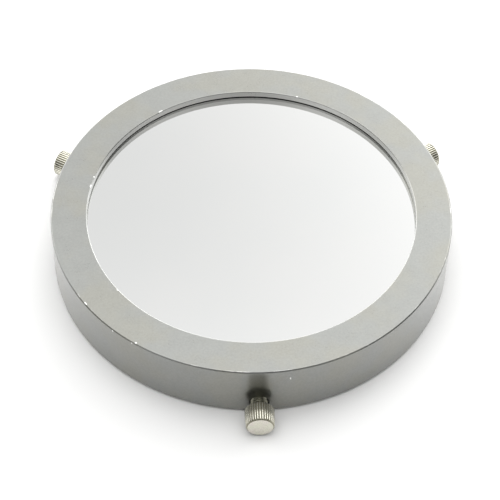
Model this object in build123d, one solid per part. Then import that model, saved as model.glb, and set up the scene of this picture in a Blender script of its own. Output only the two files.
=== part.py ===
from build123d import *
import os
import math

# Full-aperture front solar filter for a telescope.
# A mirror-coated glass disc sits in a one-piece aluminium cell whose skirt
# slides over the front of a telescope tube and is held there by three radial,
# straight-knurled thumbscrews with loose nylon tips.
# Frame: +Z points to the sky side (front). The origin is on the cell's axis,
# in the plane of the skirt's open rear rim. Units are millimetres.

# ---- driving dimensions -------------------------------------------------
CELL_R = 60.0            # outer radius of the cell
CELL_H = 18.7            # overall height, rear rim to front lip
EDGE_CH = 0.34           # chamfer of the outer front edge
REAR_CH = 0.90           # chamfer of the outer rear edge
LIP_R = 49.25            # radius of the front opening (clear aperture)
LIP_T = 2.35             # thickness of the front lip
LIP_CH = 0.20            # broken edge of the front opening, sky side
LIP_BACK_CH = 0.40       # the same edge, glass side
GLASS_BORE_R = 51.2      # pocket that centres the glass
THREAD_BORE_R = 51.8     # bore that takes the retaining ring
SKIRT_R = 55.0           # bore that goes over the telescope tube
SHOULDER_Z = 9.0         # depth of the skirt bore
FELT_GROOVE_R = 54.0     # shallow groove in the shoulder that takes the felt
FELT_GROOVE_D = 1.2

FRONT_GASKET_T = 0.32
GLASS_T = 3.00
GLASS_R = 51.0
GLASS_CH = 0.25
REAR_GASKET_T = 0.50
FRONT_GASKET_IR = 49.75   # set back from the lip's glass-side chamfer
GASKET_IR = 49.35
GASKET_OR = 51.05
RING_T = 2.35            # retaining ring
RING_OR = 51.75
RING_IR = 49.25
RING_SLOT_W = 2.0        # spanner slots in its rear face
RING_SLOT_D = 1.2
FELT_T = 1.2             # felt seat, level with the skirt's shoulder
FELT_IR = 52.1
FELT_OR = 53.9

SCREW_Z = 4.27           # height of the thumbscrew axes above the rear rim
SCREW_AZ = {"front": -90.0, "right": 30.0, "left": 150.0}
THREAD_R = 2.50          # M5 major radius
HOLE_R = 2.55            # tapped hole, bored at the major radius + clearance
HOLE_CSK_R = 3.05        # countersink of the tapped hole at the outer wall
HEAD_BACK = 62.5         # radial place of the knurled head's inner face
HEAD_END = 68.50         # radial place of its outer face
HEAD_R = 4.25
HEAD_FACE_R = 3.68       # flat end face, inside the chamfer
HEAD_FACE_CH = 0.57      # axial length of the chamfer
HEAD_BACK_CH = 0.30
KNURLS = 36
KNURL_D = 0.34
SHANK_END = 56.25        # radial place of the screw's inner end
SHANK_CH = 0.45
SOCKET_R = 1.25          # blind hole in the screw's end for the tip's stem
SOCKET_DEPTH = 2.60
TIP_FACE = 55.10         # radial place of the nylon tip's face at rest
TIP_SHOULDER = 56.20
TIP_R = 1.90
TIP_CH = 0.30
STEM_R = 1.20
STEM_END = 58.60

os.makedirs("parts", exist_ok=True)


def turned(points):
    """A solid of revolution about Z from an (r, z) outline."""
    pts = [(r, 0, z) for r, z in points]
    wire = Polyline(*pts, close=True)
    return revolve(make_face(wire), axis=Axis.Z, revolution_arc=360)


def radial(azimuth):
    """Local +Z runs outward along the screw's axis, from the cell's axis."""
    a = math.radians(azimuth)
    return Location(Plane(origin=(0, 0, SCREW_Z), x_dir=(-math.sin(a), math.cos(a), 0),
                          z_dir=(math.cos(a), math.sin(a), 0)))


# ---- stack heights ------------------------------------------------------
lip_z = CELL_H - LIP_T
front_gasket_z = lip_z - FRONT_GASKET_T
glass_z = front_gasket_z - GLASS_T
rear_gasket_z = glass_z - REAR_GASKET_T
ring_z = rear_gasket_z - RING_T
thread_top_z = rear_gasket_z + 0.25
groove_z = SHOULDER_Z + FELT_GROOVE_D

# ---- cell ring ----------------------------------------------------------
cell_ring = turned([
    (SKIRT_R, 0), (CELL_R - REAR_CH, 0), (CELL_R, REAR_CH),
    (CELL_R, CELL_H - EDGE_CH), (CELL_R - EDGE_CH, CELL_H),
    (LIP_R + LIP_CH, CELL_H), (LIP_R, CELL_H - LIP_CH),
    (LIP_R, lip_z + LIP_BACK_CH), (LIP_R + LIP_BACK_CH, lip_z),
    (GLASS_BORE_R, lip_z), (GLASS_BORE_R, thread_top_z),
    (THREAD_BORE_R, thread_top_z), (THREAD_BORE_R, groove_z),
    (FELT_GROOVE_R, groove_z), (FELT_GROOVE_R, SHOULDER_Z),
    (SKIRT_R, SHOULDER_Z),
])
drill = turned([
    (0, SKIRT_R - 3), (HOLE_R, SKIRT_R - 3),
    (HOLE_R, CELL_R - (HOLE_CSK_R - HOLE_R)), (HOLE_CSK_R, CELL_R),
    (HOLE_CSK_R + 0.8, CELL_R + 0.8), (0, CELL_R + 0.8),
])
for az in SCREW_AZ.values():
    cell_ring -= radial(az) * drill

# ---- glass stack --------------------------------------------------------
front_gasket = turned([
    (FRONT_GASKET_IR, front_gasket_z), (GASKET_OR, front_gasket_z),
    (GASKET_OR, lip_z), (FRONT_GASKET_IR, lip_z),
])
filter_glass = turned([
    (0, glass_z), (GLASS_R - GLASS_CH, glass_z), (GLASS_R, glass_z + GLASS_CH),
    (GLASS_R, front_gasket_z - GLASS_CH), (GLASS_R - GLASS_CH, front_gasket_z),
    (0, front_gasket_z),
])
rear_gasket = turned([
    (GASKET_IR, rear_gasket_z), (GASKET_OR, rear_gasket_z),
    (GASKET_OR, glass_z), (GASKET_IR, glass_z),
])
retaining_ring = turned([
    (RING_IR, ring_z + 0.15), (RING_IR + 0.15, ring_z),
    (RING_OR - 0.15, ring_z), (RING_OR, ring_z + 0.15),
    (RING_OR, rear_gasket_z - 0.15), (RING_OR - 0.15, rear_gasket_z),
    (RING_IR, rear_gasket_z),
])
for side in (0, 180):
    slot = Box(8, RING_SLOT_W, 2 * RING_SLOT_D)
    retaining_ring -= Rot(0, 0, side + 60) * Pos(RING_IR + 1, 0, ring_z) * slot
seat_felt = turned([
    (FELT_IR, groove_z - FELT_T), (FELT_OR, groove_z - FELT_T),
    (FELT_OR, groove_z), (FELT_IR, groove_z),
])

# ---- thumbscrew ---------------------------------------------------------
outline = []
for i in range(KNURLS):
    for frac, r in ((-0.20, HEAD_R), (0.20, HEAD_R), (0.5, HEAD_R - KNURL_D)):
        a = 2 * math.pi * (i + frac) / KNURLS
        outline.append((r * math.cos(a), r * math.sin(a)))
knurled = Pos(0, 0, HEAD_BACK) * extrude(
    make_face(Polyline(*outline, close=True)), amount=HEAD_END - HEAD_BACK)
envelope = turned([
    (0, HEAD_BACK), (HEAD_R - HEAD_BACK_CH, HEAD_BACK),
    (HEAD_R + 0.02, HEAD_BACK + HEAD_BACK_CH + 0.02),
    (HEAD_R + 0.02, HEAD_END - HEAD_FACE_CH - 0.02),
    (HEAD_FACE_R, HEAD_END), (0, HEAD_END),
])
shank = turned([
    (0, SHANK_END), (THREAD_R - SHANK_CH, SHANK_END),
    (THREAD_R, SHANK_END + SHANK_CH), (THREAD_R, HEAD_BACK + 0.5),
    (0, HEAD_BACK + 0.5),
])
socket = Pos(0, 0, SHANK_END) * Cylinder(
    SOCKET_R, 2 * SOCKET_DEPTH, align=(Align.CENTER, Align.CENTER, Align.CENTER))
thumbscrew = (knurled & envelope) + shank - socket

nylon_tip = turned([
    (0, TIP_FACE), (TIP_R - TIP_CH, TIP_FACE), (TIP_R, TIP_FACE + TIP_CH),
    (TIP_R, TIP_SHOULDER), (STEM_R, TIP_SHOULDER),
    (STEM_R, STEM_END - 0.3), (STEM_R - 0.3, STEM_END), (0, STEM_END),
])


def write(shape, name):
    export_step(shape, os.path.join("parts", name + ".step"))
    print(name, "volume", round(shape.volume, 2), "valid", shape.is_valid)


write(cell_ring, "cell_ring")
write(front_gasket, "front_gasket")
write(filter_glass, "filter_glass")
write(rear_gasket, "rear_gasket")
write(retaining_ring, "retaining_ring")
write(seat_felt, "seat_felt")
for side, az in SCREW_AZ.items():
    write(radial(az) * thumbscrew, "thumbscrew_" + side)
    write(radial(az) * nylon_tip, "nylon_tip_" + side)
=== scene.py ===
import math

import bpy
import numpy as np
from mathutils import Matrix, Vector


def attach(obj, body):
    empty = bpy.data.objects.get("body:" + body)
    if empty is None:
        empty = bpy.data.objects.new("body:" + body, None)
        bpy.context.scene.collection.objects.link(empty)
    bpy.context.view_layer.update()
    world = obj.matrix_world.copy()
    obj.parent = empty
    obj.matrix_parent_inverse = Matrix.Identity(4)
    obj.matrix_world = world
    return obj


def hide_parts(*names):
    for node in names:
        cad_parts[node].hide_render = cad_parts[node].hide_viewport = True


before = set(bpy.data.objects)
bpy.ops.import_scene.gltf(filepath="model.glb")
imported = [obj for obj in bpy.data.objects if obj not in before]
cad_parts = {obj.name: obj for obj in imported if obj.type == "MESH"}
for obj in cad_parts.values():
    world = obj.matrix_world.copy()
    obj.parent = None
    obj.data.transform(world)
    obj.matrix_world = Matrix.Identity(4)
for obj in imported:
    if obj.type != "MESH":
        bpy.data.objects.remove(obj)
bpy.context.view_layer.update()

MM = 0.001
TAU = 2 * math.pi

# ---- the cell, as the CAD has it (millimetres) --------------------------
CELL_R, CELL_H = 60.0, 18.7
FRONT_CH, REAR_CH = 0.34, 0.90
LIP_R, LIP_T, LIP_BACK_CH = 49.25, 2.35, 0.40
GLASS_BORE_R, THREAD_BORE_R, SKIRT_R = 51.2, 51.8, 55.0
SHOULDER_Z, FELT_GROOVE_R, FELT_GROOVE_D = 9.0, 54.0, 1.2
LIP_Z = CELL_H - LIP_T
FRONT_Z = LIP_Z - 0.32          # sky side of the glass
GLASS_Z = FRONT_Z - 3.00
REAR_Z = GLASS_Z - 0.50
RING_Z = REAR_Z - 2.35
GROOVE_Z = SHOULDER_Z + FELT_GROOVE_D
SCREW_Z = 4.27
SCREWS = {"front": -90.0, "right": 30.0, "left": 150.0}
PITCH = 0.8
HEAD_BACK, HEAD_END, HEAD_R, KNURLS = 62.5, 68.50, 4.25, 36
FACE_R, FACE_CH = 3.68, 0.57    # flat end of the head, and the chamfer's length
SHANK_END = 56.25


# ---- mesh helpers -------------------------------------------------------
def rounded(corners, support=0.04):
    """Closed outline from (r, z, fillet, segments) corners, with a holding
    point beside each fillet so that flats shade flat."""
    out, n = [], len(corners)
    for i, (r, z, rad, seg) in enumerate(corners):
        p = np.array([r, z], float)
        a = np.array(corners[i - 1][:2], float) - p
        b = np.array(corners[(i + 1) % n][:2], float) - p
        la, lb = np.linalg.norm(a), np.linalg.norm(b)
        a, b = a / la, b / lb
        if rad <= 0:
            out.append(tuple(p))
            continue
        half = math.acos(max(-1, min(1, float(a @ b)))) / 2
        t = min(rad / math.tan(half), 0.45 * la, 0.45 * lb)
        rad = t * math.tan(half)
        c = p + (a + b) / np.linalg.norm(a + b) * rad / math.sin(half)
        start, end = p + a * t, p + b * t
        v0, v1 = start - c, end - c
        ang = math.atan2(v0[0] * v1[1] - v0[1] * v1[0], float(v0 @ v1))
        s = min(support, 0.3 * (la - t), 0.3 * (lb - t))
        out.append(tuple(start + a * s))
        for k in range(seg + 1):
            w = ang * k / seg
            out.append(tuple(c + np.array([v0[0] * math.cos(w) - v0[1] * math.sin(w),
                                           v0[0] * math.sin(w) + v0[1] * math.cos(w)])))
        out.append(tuple(end + b * s))
    return out


def grid_mesh(name, rows, closed_rows=False, start_pole=None, end_pole=None):
    """rows: list of (n, 3) arrays in metres, each a closed loop; neighbours are
    joined by quads. Poles close an end with a fan."""
    n, m = len(rows[0]), len(rows)
    verts = np.concatenate(rows)
    faces = []
    last = m if closed_rows else m - 1
    for k in range(last):
        a, b = k * n, ((k + 1) % m) * n
        for j in range(n):
            j2 = (j + 1) % n
            faces.append((a + j, a + j2, b + j2, b + j))
    extra = []
    if start_pole is not None:
        c = len(verts) + len(extra)
        extra.append(start_pole)
        faces += [(c, (j + 1) % n, j) for j in range(n)]
    if end_pole is not None:
        c = len(verts) + len(extra)
        extra.append(end_pole)
        base = (m - 1) * n
        faces += [(c, base + j, base + (j + 1) % n) for j in range(n)]
    if extra:
        verts = np.concatenate([verts, np.array(extra, float)])
    me = bpy.data.meshes.new(name)
    me.from_pydata(verts.tolist(), [], faces)
    me.validate()
    ob = bpy.data.objects.new(name, me)
    bpy.context.scene.collection.objects.link(ob)
    return ob


def finish_mesh(ob, angle=32.0):
    """Outward faces, smooth shading, hard edges kept above the angle."""
    import bmesh
    bm = bmesh.new()
    bm.from_mesh(ob.data)
    bmesh.ops.recalc_face_normals(bm, faces=bm.faces)
    lim = math.radians(angle)
    for f in bm.faces:
        f.smooth = True
    for e in bm.edges:
        if len(e.link_faces) == 2 and e.calc_face_angle(0) > lim:
            e.smooth = False
    bm.to_mesh(ob.data)
    bm.free()
    ob.data.update()
    return ob


def ring_of(r, z, n, phase=0.0):
    th = np.arange(n) * TAU / n + phase
    return np.stack([r * np.cos(th), r * np.sin(th), np.full(n, z)], 1) * MM


def lathe(name, outline, n=360):
    """Solid of revolution about Z. An outline whose ends lie on the axis gets
    poles there; any other outline is closed on itself."""
    pts = list(outline)
    if pts[0][0] < 1e-6:
        return grid_mesh(name, [ring_of(r, z, n) for r, z in pts[1:-1]],
                         start_pole=(0, 0, pts[0][1] * MM), end_pole=(0, 0, pts[-1][1] * MM))
    return grid_mesh(name, [ring_of(r, z, n) for r, z in pts], closed_rows=True)


def radial(azimuth):
    a = math.radians(azimuth)
    return Matrix(((-math.sin(a), 0, math.cos(a), 0), (math.cos(a), 0, math.sin(a), 0),
                   (0, 1, 0, SCREW_Z * MM), (0, 0, 0, 1)))


def carve(ob, cutter, keep_cutter=False):
    mod = ob.modifiers.new("carve", "BOOLEAN")
    mod.operation, mod.object, mod.solver = "DIFFERENCE", cutter, "EXACT"
    bpy.context.view_layer.update()
    me = bpy.data.meshes.new_from_object(ob.evaluated_get(bpy.context.evaluated_depsgraph_get()))
    ob.modifiers.clear()
    old, ob.data = ob.data, me
    bpy.data.meshes.remove(old)
    me.name = ob.name
    if not keep_cutter:
        bpy.data.objects.remove(cutter)


# ---- node helpers -------------------------------------------------------
class Nodes:
    def __init__(self, name):
        self.mat = bpy.data.materials.new(name)
        self.mat.use_nodes = True
        self.t = self.mat.node_tree
        self.t.nodes.clear()
        self.out = self.t.nodes.new("ShaderNodeOutputMaterial")
        self.p = self.t.nodes.new("ShaderNodeBsdfPrincipled")
        self.t.links.new(self.p.outputs[0], self.out.inputs[0])
        self.co = self.t.nodes.new("ShaderNodeTexCoord").outputs["Object"]

    def put(self, socket, value):
        s = self.p.inputs[socket]
        if hasattr(value, "links"):
            self.t.links.new(value, s)
        else:
            s.default_value = value

    def feed(self, node, key, value):
        if value is None:
            return
        s = node.inputs[key]
        if hasattr(value, "links"):
            self.t.links.new(value, s)
        else:
            s.default_value = value

    def math(self, op, a, b=None, c=None, clamp=False):
        n = self.t.nodes.new("ShaderNodeMath")
        n.operation, n.use_clamp = op, clamp
        for k, v in enumerate((a, b, c)):
            self.feed(n, k, v)
        return n.outputs[0]

    def mix(self, fac, a, b, blend="MIX"):
        n = self.t.nodes.new("ShaderNodeMix")
        n.data_type, n.blend_type = "RGBA", blend
        self.feed(n, "Factor", fac)
        for k, v in ((6, a), (7, b)):
            self.feed(n, k, (*v, 1.0) if isinstance(v, tuple) and len(v) == 3 else v)
        return n.outputs[2]

    def noise(self, scale, detail=2.0, rough=0.5, co=None, distort=0.0):
        n = self.t.nodes.new("ShaderNodeTexNoise")
        self.t.links.new(co or self.co, n.inputs["Vector"])
        n.inputs["Scale"].default_value = scale
        n.inputs["Detail"].default_value = detail
        n.inputs["Roughness"].default_value = rough
        n.inputs["Distortion"].default_value = distort
        return n.outputs["Fac"]

    def voronoi(self, scale, feature="F1", out="Distance", co=None):
        n = self.t.nodes.new("ShaderNodeTexVoronoi")
        n.feature = feature
        self.t.links.new(co or self.co, n.inputs["Vector"])
        n.inputs["Scale"].default_value = scale
        return n.outputs[out]

    def ramp(self, value, lo, hi, a=0.0, b=1.0, kind="SMOOTHSTEP"):
        n = self.t.nodes.new("ShaderNodeMapRange")
        n.interpolation_type = kind
        self.feed(n, "Value", value)
        for k, v in (("From Min", lo), ("From Max", hi), ("To Min", a), ("To Max", b)):
            n.inputs[k].default_value = v
        return n.outputs[0]

    def split(self, co=None):
        n = self.t.nodes.new("ShaderNodeSeparateXYZ")
        self.t.links.new(co or self.co, n.inputs[0])
        return n.outputs

    def mapped(self, scale=(1, 1, 1), rot=(0, 0, 0), loc=(0, 0, 0), co=None):
        n = self.t.nodes.new("ShaderNodeMapping")
        self.t.links.new(co or self.co, n.inputs[0])
        n.inputs["Scale"].default_value = scale
        n.inputs["Rotation"].default_value = rot
        n.inputs["Location"].default_value = loc
        return n.outputs[0]

    def bump(self, height, distance, strength=1.0, normal=None):
        n = self.t.nodes.new("ShaderNodeBump")
        self.feed(n, "Height", height)
        n.inputs["Distance"].default_value = distance
        n.inputs["Strength"].default_value = strength
        if normal is not None:
            self.t.links.new(normal, n.inputs["Normal"])
        return n.outputs[0]

    def dist(self, point, co=None):
        n = self.t.nodes.new("ShaderNodeVectorMath")
        n.operation = "DISTANCE"
        self.t.links.new(co or self.co, n.inputs[0])
        n.inputs[1].default_value = point
        return n.outputs["Value"]


# ---- materials ----------------------------------------------------------
# small bright rubs on the cell: radius, azimuth, height, size (mm)
RUBS = [
    (59.60, -145.35, CELL_H, 0.34), (59.60, -145.0, CELL_H, 0.36), (59.60, -144.65, CELL_H, 0.30),
    (60.0, -133.1, CELL_H - 0.55, 0.30), (60.0, -126.4, CELL_H - 0.55, 0.28), (59.55, -125.3, CELL_H, 0.38),
    (60.0, -81.7, 15.15, 0.22), (60.0, -81.7, 14.85, 0.22), (60.0, -81.65, 14.55, 0.18),
    (49.40, 123.5, CELL_H, 0.42), (49.40, 123.0, CELL_H, 0.46), (49.40, 122.5, CELL_H, 0.36),
    (49.50, 70.9, CELL_H, 0.32), (49.50, 163.1, CELL_H, 0.30), (49.50, 167.2, CELL_H, 0.36), (49.50, 167.8, CELL_H, 0.28),
    (49.45, -143.5, CELL_H, 0.34),
]


def blasted_aluminium():
    """Bead-blasted, clear-anodised aluminium: very fine grain, faint cloudy
    tone, broken edges cut brighter, and small bright rubs along them. Painted
    shade darkens the outer wall and the left of the opening, and a painted
    highlight lightens the far side of the opening."""
    m = Nodes("blasted_aluminium")
    x, y, z = m.split()
    r = m.math("SQRT", m.math("ADD", m.math("MULTIPLY", x, x), m.math("MULTIPLY", y, y)))
    cloud = m.noise(70, 3, 0.55)
    cloud2 = m.noise(260, 3, 0.6)
    fine = m.noise(1500, 4, 0.65)
    grain = m.noise(3800, 2, 0.6)
    olive = m.mix(m.ramp(cloud, 0.38, 0.62), (0.311, 0.317, 0.303), (0.320, 0.319, 0.288))
    tone = m.mix(m.ramp(cloud2, 0.3, 0.7), (0.985, 0.985, 0.985), (1.01, 1.01, 1.01))
    base = m.mix(1.0, olive, tone, "MULTIPLY")
    speck = m.mix(m.ramp(fine, 0.30, 0.72), (0.945, 0.945, 0.945), (1.045, 1.045, 1.045))
    base = m.mix(1.0, base, speck, "MULTIPLY")
    # painted shade: the outer wall is darkened, and the top rim gets a faint painted highlight
    wall = m.ramp(r, (CELL_R - 0.30) * MM, (CELL_R - 0.02) * MM)
    base = m.mix(m.math("MULTIPLY", wall, 0.17), base, (0.0, 0.0, 0.0))
    base = m.mix(m.math("SUBTRACT", 0.018, m.math("MULTIPLY", wall, 0.018)), base, (1.0, 1.0, 1.0))
    # broken edge of the opening, cut through to brighter metal
    lip = m.math("MULTIPLY", m.ramp(r, (LIP_R + 0.30) * MM, (LIP_R + 0.20) * MM),
                 m.ramp(z, (CELL_H - 0.30) * MM, (CELL_H - 0.20) * MM))
    # top of the opening's inner wall, where the painted shade and painted highlight below are laid
    bore = m.math("MULTIPLY", m.ramp(r, (LIP_R + 0.46) * MM, (LIP_R + 0.42) * MM),
                  m.ramp(z, (CELL_H - 0.10) * MM, (CELL_H - 0.22) * MM))
    patchy = m.ramp(m.noise(95, 3, 0.6), 0.35, 0.60, 0.02, 0.16)
    bright = m.math("MULTIPLY", lip, patchy)
    # painted shade: the opening's edge and the top of its inner wall darkened towards the left side (negative x)
    shade = m.math("MAXIMUM", bore, lip)
    shade = m.math("MULTIPLY", shade, m.ramp(x, -24.0 * MM, -42.0 * MM, 0.0, 0.45))
    base = m.mix(shade, base, (0.0, 0.0, 0.0))
    # outer front edge: rubbed in places
    outer = m.math("MULTIPLY", m.ramp(z, (CELL_H - 0.16) * MM, (CELL_H - 0.03) * MM),
                   m.ramp(r, (CELL_R - FRONT_CH - 0.12) * MM, (CELL_R - FRONT_CH - 0.02) * MM))
    worn = m.ramp(m.noise(120, 4, 0.65), 0.52, 0.64, 0.0, 0.7)
    bright = m.math("MAXIMUM", bright, m.math("MULTIPLY", outer, worn))
    for rr, az, zz, size in RUBS:
        a = math.radians(az)
        d = m.dist((rr * math.cos(a) * MM, rr * math.sin(a) * MM, zz * MM))
        bright = m.math("MAXIMUM", bright, m.ramp(d, size * 0.55 * MM, size * MM, 1.0, 0.0))
    base = m.mix(m.math("MULTIPLY", bright, 0.90), base, (0.95, 0.95, 0.93))
    far = m.ramp(y, 22.0 * MM, 44.0 * MM, 0.0, 0.85)    # painted highlight: lightened on the far side only
    base = m.mix(m.math("MULTIPLY", bore, far), base, (0.757, 0.757, 0.735))
    m.put("Base Color", base)
    m.put("Metallic", 1.0)
    rough = m.ramp(cloud2, 0.25, 0.75, 0.283, 0.297)
    rough = m.math("ADD", rough, m.ramp(grain, 0.2, 0.8, -0.015, 0.015))
    m.put("Roughness", rough)
    m.put("Coat Weight", 0.66)          # the clear anodic film
    m.put("Coat Roughness", 0.22)
    m.put("Coat IOR", 1.5)
    b = m.bump(grain, 0.000012, 0.55)
    b = m.bump(fine, 0.00002, 0.35, b)
    m.put("Normal", b)
    return m.mat


def mirror_coat():
    m = Nodes("mirror_coat")
    haze = m.noise(28, 3, 0.5)
    dust = m.ramp(m.voronoi(520), 0.035, 0.06, 1.0, 0.0)
    keep = m.ramp(m.noise(90, 2, 0.5), 0.62, 0.70)
    dust = m.math("MULTIPLY", dust, keep)
    col = m.mix(m.ramp(haze, 0.3, 0.7), (0.718, 0.725, 0.721), (0.731, 0.733, 0.728))
    m.put("Base Color", m.mix(m.math("MULTIPLY", dust, 0.35), col, (0.70, 0.70, 0.69)))
    m.put("Metallic", 1.0)
    m.put("Roughness", m.math("ADD", m.ramp(haze, 0.3, 0.7, 0.012, 0.03), m.math("MULTIPLY", dust, 0.2)))
    return m.mat


def clear_glass():
    m = Nodes("float_glass")
    n = m.noise(40, 2, 0.5)
    m.put("Base Color", m.mix(m.ramp(n, 0.3, 0.7), (0.955, 0.975, 0.965), (0.965, 0.98, 0.97)))
    m.put("Roughness", m.ramp(m.noise(300, 2, 0.5), 0.4, 0.7, 0.0, 0.03))
    m.put("IOR", 1.52)
    m.put("Transmission Weight", 1.0)
    return m.mat


def ground_glass():
    m = Nodes("ground_glass_edge")
    n = m.noise(2600, 3, 0.6)
    m.put("Base Color", m.mix(m.ramp(n, 0.3, 0.7), (0.60, 0.68, 0.64), (0.72, 0.78, 0.75)))
    m.put("Roughness", m.ramp(n, 0.3, 0.7, 0.55, 0.75))
    m.put("Normal", m.bump(n, 0.00003, 0.6))
    return m.mat


def black_rubber():
    m = Nodes("gasket_rubber")
    n = m.noise(2200, 4, 0.6)
    m.put("Base Color", m.mix(m.ramp(m.noise(300, 2, 0.5), 0.3, 0.7), (0.012, 0.012, 0.012), (0.022, 0.021, 0.020)))
    m.put("Roughness", m.ramp(n, 0.25, 0.75, 0.62, 0.85))
    m.put("Normal", m.bump(n, 0.00003, 0.6))
    return m.mat


def black_anodised():
    m = Nodes("black_anodised")
    x, y, z = m.split()
    r = m.math("SQRT", m.math("ADD", m.math("MULTIPLY", x, x), m.math("MULTIPLY", y, y)))
    turn = m.math("SINE", m.math("MULTIPLY", r, TAU / 0.00018))
    cloud = m.noise(160, 3, 0.55)
    m.put("Base Color", m.mix(m.ramp(cloud, 0.3, 0.7), (0.020, 0.020, 0.022), (0.034, 0.033, 0.036)))
    m.put("Metallic", 0.6)
    m.put("Roughness", m.ramp(m.noise(2400, 3, 0.6), 0.25, 0.75, 0.34, 0.50))
    m.put("Normal", m.bump(turn, 0.000006, 0.5))
    return m.mat


def black_felt():
    m = Nodes("wool_felt")
    a = m.noise(1400, 5, 0.7, distort=1.2)
    b = m.noise(5200, 3, 0.7, co=m.mapped(scale=(1, 0.35, 1), rot=(0, 0, 0.6)))
    m.put("Base Color", m.mix(m.ramp(a, 0.3, 0.75), (0.010, 0.010, 0.011), (0.040, 0.039, 0.038)))
    m.put("Roughness", m.ramp(b, 0.2, 0.8, 0.85, 1.0))
    m.put("Sheen Weight", 0.5)
    m.put("Sheen Roughness", 0.6)
    m.put("Normal", m.bump(b, 0.00006, 0.8, m.bump(a, 0.00012, 0.7)))
    return m.mat


def nickel(face=False):
    """Warm nickel plate, with painted shade down in the knurling grooves and on
    the thread under the head. The head's flat end is a little duller."""
    m = Nodes("nickel_face" if face else "nickel_plate")
    cloud = m.noise(340, 3, 0.6)
    fine = m.noise(2600, 3, 0.6)
    if face:
        base = m.mix(m.ramp(cloud, 0.35, 0.65), (0.700, 0.690, 0.590), (0.695, 0.655, 0.598))
        rough = m.ramp(fine, 0.25, 0.75, 0.24, 0.34)
        m.put("Normal", m.bump(fine, 0.000010, 0.5))
    else:
        x, y, z = m.split()
        lift = m.math("SUBTRACT", z, SCREW_Z * MM)
        lift = m.math("MULTIPLY", lift, lift)
        near = None                     # distance from the nearest screw's axis
        for az in SCREWS.values():
            a = math.radians(az)
            across = m.math("ADD", m.math("MULTIPLY", x, -math.sin(a)), m.math("MULTIPLY", y, math.cos(a)))
            along = m.math("ADD", m.math("MULTIPLY", x, math.cos(a)), m.math("MULTIPLY", y, math.sin(a)))
            far = m.math("LESS_THAN", along, 0.0)
            d = m.math("SQRT", m.math("ADD", m.math("MULTIPLY", across, across), lift))
            d = m.math("ADD", d, far)
            near = d if near is None else m.math("MINIMUM", near, d)
        base = m.mix(m.ramp(cloud, 0.3, 0.7), (0.775, 0.76, 0.67), (0.83, 0.81, 0.72))
        # painted shade: nickel darkened inside the knurling grooves
        groove = m.ramp(near, 3.95 * MM, 4.12 * MM)
        base = m.mix(groove, (0.29, 0.28, 0.22), base)
        # painted shade: the thread and neck under the head darkened
        thread = m.ramp(near, 2.60 * MM, 3.20 * MM)
        base = m.mix(thread, (0.27, 0.265, 0.21), base)
        rough = m.ramp(fine, 0.25, 0.75, 0.15, 0.22)
        rough = m.math("ADD", rough, m.math("MULTIPLY", m.math("SUBTRACT", 1.0, groove), 0.15))
        m.put("Normal", m.bump(fine, 0.000008, 0.4))
    m.put("Base Color", base)
    m.put("Metallic", 1.0)
    m.put("Roughness", rough)
    return m.mat


def natural_nylon():
    m = Nodes("natural_nylon")
    n = m.noise(900, 3, 0.55)
    m.put("Base Color", m.mix(m.ramp(n, 0.3, 0.7), (0.80, 0.785, 0.72), (0.86, 0.85, 0.80)))
    m.put("Roughness", m.ramp(m.noise(2600, 2, 0.5), 0.3, 0.7, 0.38, 0.52))
    m.put("Subsurface Weight", 0.35)
    m.put("Subsurface Radius", (0.0012, 0.0011, 0.0009))
    m.put("Subsurface Scale", 1.0)
    m.put("Normal", m.bump(n, 0.00002, 0.4))
    return m.mat


def floor_board():
    m = Nodes("floor_white")
    a = m.noise(3.0, 3, 0.5)
    b = m.noise(900, 3, 0.6)
    m.put("Base Color", m.mix(m.ramp(a, 0.3, 0.7), (0.840, 0.840, 0.838), (0.855, 0.855, 0.853)))
    m.put("Roughness", m.ramp(b, 0.3, 0.7, 0.8, 0.92))
    m.put("Normal", m.bump(b, 0.00003, 0.25))
    return m.mat


MAT = {
    "cell": blasted_aluminium(), "coat": mirror_coat(), "glass": clear_glass(),
    "ground": ground_glass(), "rubber": black_rubber(), "black": black_anodised(),
    "felt": black_felt(), "nickel": nickel(), "face": nickel(True), "nylon": natural_nylon(),
}

# ---- camera -------------------------------------------------------------
ELEV, DIST, ROLL, TURN = math.radians(50.50), 509.33, 0.0187, math.radians(-3.0)
target = Matrix.Rotation(TURN, 3, "Z") @ Vector((-0.096, -15.92, CELL_H))
right, back = Vector((1, 0, 0)), Vector((0, -math.cos(ELEV), math.sin(ELEV)))
up = back.cross(right)
turned_right = right * math.cos(ROLL) + up * math.sin(ROLL)
turned_up = up * math.cos(ROLL) - right * math.sin(ROLL)
turn = Matrix.Rotation(TURN, 3, "Z")
cols = [turn @ turned_right, turn @ turned_up, turn @ back]
place = (target + cols[2] * DIST) * MM
cam = bpy.data.objects.new("camera", bpy.data.cameras.new("camera"))
cam.data.sensor_width = 36.0
cam.data.lens = 124.93
cam.data.shift_x, cam.data.shift_y = -0.001, 0.001
cam.data.clip_start, cam.data.clip_end = 0.01, 50.0
cam.matrix_world = Matrix(((cols[0].x, cols[1].x, cols[2].x, place.x),
                           (cols[0].y, cols[1].y, cols[2].y, place.y),
                           (cols[0].z, cols[1].z, cols[2].z, place.z), (0, 0, 0, 1)))
bpy.context.scene.collection.objects.link(cam)
bpy.context.scene.camera = cam
bpy.context.scene.view_settings.view_transform = "Standard"

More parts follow.
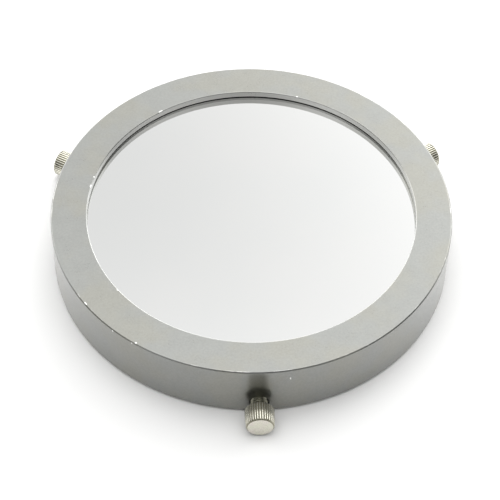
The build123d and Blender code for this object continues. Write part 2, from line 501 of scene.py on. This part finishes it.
# ---- cell ---------------------------------------------------------------
cell = lathe("cell_body", rounded([
    (SKIRT_R, 0, 0.05, 3), (CELL_R - REAR_CH, 0, 0.10, 3), (CELL_R, REAR_CH, 0.10, 3),
    (CELL_R, CELL_H - FRONT_CH, 0.22, 5), (CELL_R - FRONT_CH, CELL_H, 0.12, 4),
    (LIP_R + 0.17, CELL_H, 0.16, 5), (LIP_R, CELL_H - 0.17, 0.16, 5),
    (LIP_R, LIP_Z + LIP_BACK_CH, 0.05, 3), (LIP_R + LIP_BACK_CH, LIP_Z, 0.05, 3),
    (GLASS_BORE_R, LIP_Z, 0.05, 2), (GLASS_BORE_R, REAR_Z + 0.25, 0.05, 2),
    (THREAD_BORE_R, REAR_Z + 0.25, 0.05, 2), (THREAD_BORE_R, GROOVE_Z, 0.05, 2),
    (FELT_GROOVE_R, GROOVE_Z, 0.05, 2), (FELT_GROOVE_R, SHOULDER_Z, 0.05, 2),
    (SKIRT_R, SHOULDER_Z, 0.10, 3),
]), n=360)


def thread_radius(s, theta, crest, root, handed=1.0):
    """Radius of a 60 degree thread of the screws' pitch, crests rounded."""
    ph = (s - handed * PITCH * theta / TAU) / PITCH
    u = np.abs((ph % 1.0) - 0.5) * 2           # 1 at crest, 0 at root
    w = np.clip((u - 0.16) / 0.70, 0, 1)
    return root + (crest - root) * w


def hole_cutter(name, n=72):
    th = np.arange(n) * TAU / n
    rows = []
    stations = [52.0, 54.0, 55.3] + list(np.arange(55.45, 59.46, PITCH / 12)) + [59.5, 60.0, 60.9]
    for s in stations:
        if s <= 55.35:
            r = np.full(n, 2.56)
        elif s < 59.47:
            fade = min(1, max(0, (s - 55.45) / 0.5)) * min(1, max(0, (59.46 - s) / 0.3))
            r = thread_radius(s, th, 2.56, 2.13)
            r = 2.56 + (r - 2.56) * fade
        else:
            r = np.full(n, {59.5: 2.56, 60.0: 3.05, 60.9: 3.95}[s])
        rows.append(np.stack([r * np.cos(th), r * np.sin(th), np.full(n, s)], 1) * MM)
    return grid_mesh(name, rows, start_pole=(0, 0, 52.0 * MM), end_pole=(0, 0, 60.9 * MM))


for side, az in SCREWS.items():
    cutter = hole_cutter("cut_" + side)
    cutter.data.transform(radial(az))
    finish_mesh(cutter)
    carve(cell, cutter)
finish_mesh(cell, 30)
cell.data.materials.clear()
cell.data.materials.append(MAT["cell"])
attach(cell, "cell"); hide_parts("cell_ring")

# ---- glass and what holds it -------------------------------------------
GR, GC = 51.0, 0.25
disc = lathe("filter_disc", [(0, GLASS_Z)] + [(r, GLASS_Z) for r in (12, 25, 38, 47, 50.4)] + [
    (GR - GC, GLASS_Z), (GR, GLASS_Z + GC), (GR, FRONT_Z - GC), (GR - GC, FRONT_Z),
] + [(r, FRONT_Z) for r in (50.4, 47, 38, 25, 12)] + [(0, FRONT_Z)], n=360)
finish_mesh(disc, 20)
for k in ("glass", "coat", "ground"):
    disc.data.materials.append(MAT[k])
for p in disc.data.polygons:
    c = p.center
    if c.z > (FRONT_Z - 0.01) * MM:
        p.material_index = 1
    elif math.hypot(c.x, c.y) > (GR - GC) * MM:
        p.material_index = 2
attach(disc, "cell"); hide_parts("filter_glass")

front = lathe("front_seal", rounded([
    (49.75, FRONT_Z + 0.005, 0.10, 3), (51.05, FRONT_Z + 0.005, 0.06, 2),
    (51.05, LIP_Z - 0.005, 0.06, 2), (49.75, LIP_Z - 0.005, 0.10, 3)]), n=360)
finish_mesh(front, 40)
front.data.materials.append(MAT["rubber"])
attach(front, "cell"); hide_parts("front_gasket")

rear = lathe("rear_seal", rounded([
    (49.35, REAR_Z + 0.005, 0.12, 4), (51.05, REAR_Z + 0.005, 0.08, 2),
    (51.05, GLASS_Z - 0.005, 0.08, 2), (49.35, GLASS_Z - 0.005, 0.12, 4)]), n=360)
finish_mesh(rear, 40)
rear.data.materials.append(MAT["rubber"])
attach(rear, "cell"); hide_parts("rear_gasket")

# retaining ring with its fine outer thread and two spanner slots
outer = [(51.60, RING_Z + 0.10)]
z = RING_Z + 0.18
while z < REAR_Z - 0.30:
    outer += [(51.74, z + 0.14), (51.74, z + 0.20), (51.48, z + 0.42), (51.48, z + 0.48)]
    z += 0.50
outer += [(51.60, REAR_Z - 0.12), (51.45, REAR_Z - 0.01)]
ring = lathe("glass_retaining_ring", [(49.27, REAR_Z - 0.01), (49.25, REAR_Z - 0.06), (49.25, RING_Z + 0.18),
                                     (49.30, RING_Z + 0.05), (49.41, RING_Z), (50.4, RING_Z), (51.45, RING_Z)] + outer, n=360)
finish_mesh(ring, 28)
for side in (60, 240):
    me = bpy.data.meshes.new("slot")
    v = [(sx * 4, sy * 1.0, sz) for sx in (-1, 1) for sy in (-1, 1) for sz in (-1.2, 1.2)]
    me.from_pydata([(a * MM, b * MM, c * MM) for a, b, c in v], [],
                   [(0, 1, 3, 2), (4, 6, 7, 5), (0, 4, 5, 1), (2, 3, 7, 6), (0, 2, 6, 4), (1, 5, 7, 3)])
    me.transform(Matrix.Rotation(math.radians(side), 4, "Z") @ Matrix.Translation((50.4 * MM, 0, RING_Z * MM)))
    box = bpy.data.objects.new("slot", me)
    bpy.context.scene.collection.objects.link(box)
    finish_mesh(box)
    carve(ring, box)
finish_mesh(ring, 28)
ring.data.materials.clear()
ring.data.materials.append(MAT["black"])
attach(ring, "cell"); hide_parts("retaining_ring")

# felt ring, its face a little uneven
N_FELT = 720
rng = np.random.default_rng(7)
th = np.arange(N_FELT) * TAU / N_FELT


def wavy(amount, knots):
    v = rng.normal(size=knots)
    return amount * np.interp(np.arange(N_FELT) / N_FELT * knots, np.arange(knots + 1), np.append(v, v[0]))


rows = []
f0, f1 = SHOULDER_Z, GROOVE_Z - 0.005
for r, z, jr, jz in ((52.10, f1, 0, 0), (52.10, f0 + 0.5, .012, 0), (52.12, f0 + 0.22, .02, 0), (52.22, f0 + 0.07, .02, .01),
                     (52.45, f0 + 0.03, .01, .012), (52.9, f0 + 0.025, 0, .012), (53.2, f0 + 0.025, 0, .012), (53.55, f0 + 0.03, .01, .012),
                     (53.78, f0 + 0.07, .01, .01), (53.88, f0 + 0.22, .008, 0), (53.90, f0 + 0.5, .0, 0), (53.90, f1, 0, 0)):
    rr = r - np.abs(wavy(jr, 240)) * (1 if r > 53.0 else -1) if jr else np.full(N_FELT, r)
    zz = z + np.abs(wavy(jz, 360)) if jz else np.full(N_FELT, z)
    rows.append(np.stack([rr * np.cos(th), rr * np.sin(th), zz], 1) * MM)
felt = grid_mesh("tube_seat_felt", rows, closed_rows=True)
finish_mesh(felt, 60)
felt.data.materials.append(MAT["felt"])
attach(felt, "cell"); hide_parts("seat_felt")


# ---- thumbscrews --------------------------------------------------------
def head_draft(s):
    """The knurling draws in very slightly towards the end."""
    return 0.060 * min(2.95, max(0, s - (HEAD_BACK + 2.6)))


def head_envelope(s):
    back_r = HEAD_R - max(0, HEAD_BACK + 0.30 - s)
    start = HEAD_END - FACE_CH + 0.17
    big = HEAD_R - head_draft(start)
    t = max(0, s - start) / (HEAD_END - start)
    return min(back_r, HEAD_R if t == 0 else big - (big - FACE_R) * t)


def screw_mesh(name, samples=12):
    n = KNURLS * samples
    th = np.arange(n) * TAU / n
    k = (np.arange(n) % samples) / samples
    d = np.abs(((k + 0.5) % 1.0) - 0.5) * 2      # 0 on a ridge, 1 in a groove
    groove = np.interp(d, [0, 0.25, 0.38, 0.70, 0.82, 1.0], [0, 0.004, 0.035, 0.300, 0.335, 0.345])
    knurl = HEAD_R - groove
    rows = []

    def add(r, s):
        r = np.full(n, r) if np.isscalar(r) else r
        rows.append(np.stack([r * np.cos(th), r * np.sin(th), np.full(n, s)], 1) * MM)

    # blind hole for the tip's stem, from its bottom out
    for r, s in ((0.60, 58.85), (1.15, 58.85), (1.22, 58.80), (1.25, 58.70), (1.25, 57.5), (1.25, SHANK_END + 0.10),
                 (1.33, SHANK_END), (1.70, SHANK_END), (2.02, SHANK_END)):
        add(r, s)
    # lead-in, thread, run-out under the head
    s = SHANK_END + 0.03
    step = PITCH / 12
    while s < HEAD_BACK - 0.30:
        lead = min(1, (s - SHANK_END) / 0.45)
        out = min(1, max(0, (HEAD_BACK - 0.30 - s) / 0.30))
        r = thread_radius(s, th, 2.46, 2.05)
        r = np.minimum(r, 2.06 + 0.40 * lead)
        add(2.05 + (r - 2.05) * out, s)
        s += step
    for r, s in ((2.05, HEAD_BACK - 0.24), (2.06, HEAD_BACK - 0.10), (2.10, HEAD_BACK - 0.03), (2.20, HEAD_BACK),
                 (2.9, HEAD_BACK), (3.55, HEAD_BACK), (3.70, HEAD_BACK)):
        add(r, s)
    stations = list(np.linspace(HEAD_BACK + 0.0, HEAD_BACK + 0.34, 8)) + [HEAD_BACK + 0.8, HEAD_BACK + 1.8, HEAD_BACK + 2.5, HEAD_BACK + 2.7, HEAD_BACK + 3.6, HEAD_BACK + 4.6]
    stations += list(np.linspace(HEAD_END - FACE_CH - 0.25, HEAD_END - 0.03, 18))
    for s in stations:
        add(np.minimum(head_envelope(s), knurl - head_draft(s)), s)
    for r, s in ((FACE_R - 0.02, HEAD_END - 0.008), (FACE_R - 0.07, HEAD_END), (FACE_R - 0.4, HEAD_END), (2.0, HEAD_END), (0.8, HEAD_END)):
        add(r, s)
    ob = grid_mesh(name, rows, start_pole=(0, 0, 58.85 * MM), end_pole=(0, 0, HEAD_END * MM))
    finish_mesh(ob, 38)
    return ob


def tip_mesh(name):
    pts = rounded([(0, 55.10, 0, 0), (1.90, 55.10, 0.30, 5), (1.90, 56.20, 0.06, 2), (1.20, 56.20, 0.05, 2),
                   (1.20, 58.60, 0.25, 3), (0, 58.60, 0, 0)])
    ob = lathe(name, [(0, 55.10), (0.6, 55.10)] + pts[1:-1] + [(0.5, 58.60), (0, 58.60)], n=72)
    finish_mesh(ob, 35)
    return ob


for side, az in SCREWS.items():
    to = radial(az)
    screw = screw_mesh("m5_thumbscrew_" + side)
    screw.data.materials.append(MAT["nickel"])
    screw.data.materials.append(MAT["face"])
    for p in screw.data.polygons:
        if p.center.z > (HEAD_END - 0.005) * MM:
            p.material_index = 1
    screw.data.transform(to)
    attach(screw, "screw_" + side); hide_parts("thumbscrew_" + side)
    tip = tip_mesh("soft_tip_" + side)
    tip.data.materials.append(MAT["nylon"])
    tip.data.transform(to)
    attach(tip, "tip_" + side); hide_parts("nylon_tip_" + side)

# ---- floor and light ----------------------------------------------------
floor = grid_mesh("studio_floor", [ring_of(r, -0.02, 96) for r in (3000, 1500, 600, 250, 100, 40)], end_pole=(0, 0, -0.00002))
finish_mesh(floor)
if floor.data.polygons[0].normal.z < 0:
    floor.data.flip_normals()
floor.data.materials.append(floor_board())

world = bpy.data.worlds.new("studio")
bpy.context.scene.world = world
world.use_nodes = True
t = world.node_tree
t.nodes.clear()


def wmath(op, a, b=None, clamp=False):
    n = t.nodes.new("ShaderNodeMath")
    n.operation, n.use_clamp = op, clamp
    for k, v in enumerate((a, b)):
        if v is None:
            continue
        if hasattr(v, "links"):
            t.links.new(v, n.inputs[k])
        else:
            n.inputs[k].default_value = v
    return n.outputs[0]


direction = t.nodes.new("ShaderNodeTexCoord").outputs["Generated"]
# soft light from all round: strength of each broad lobe by elevation, azimuth
LOBES = {
    2: {30: 1.29, 60: 3.71, 90: 3.8, 120: 2.58, 150: 0.79},
    28: {15: 0.06, 45: 3.29, 75: 1.07, 105: 0.02, 135: 2.09, 165: 0.27, 195: 0.02, 315: 0.07},
    30: {218: 0.5, 322: 0.2},
    54: {10: 0.67, 50: 0.35, 130: 0.27, 170: 0.69, 210: 0.40, 250: 0.40, 290: 0.40, 330: 0.36},
    80: {0: 0.8, 120: 2.5, 240: 0.35},
}
level = None
for el, ring_ in LOBES.items():
    for az, strength in ring_.items():
        e, a = math.radians(el), math.radians(az)
        v = t.nodes.new("ShaderNodeVectorMath")
        v.operation = "DOT_PRODUCT"
        t.links.new(direction, v.inputs[0])
        v.inputs[1].default_value = (math.cos(e) * math.cos(a), math.cos(e) * math.sin(a), math.sin(e))
        lobe = wmath("EXPONENT", wmath("MULTIPLY", wmath("SUBTRACT", v.outputs["Value"], 1.0), 14.0))
        lobe = wmath("MULTIPLY", lobe, strength)
        level = lobe if level is None else wmath("ADD", level, lobe)
bg = t.nodes.new("ShaderNodeBackground")
bg.inputs["Color"].default_value = (1.0, 1.0, 0.995, 1)
t.links.new(level, bg.inputs["Strength"])
wo = t.nodes.new("ShaderNodeOutputWorld")
t.links.new(bg.outputs[0], wo.inputs[0])
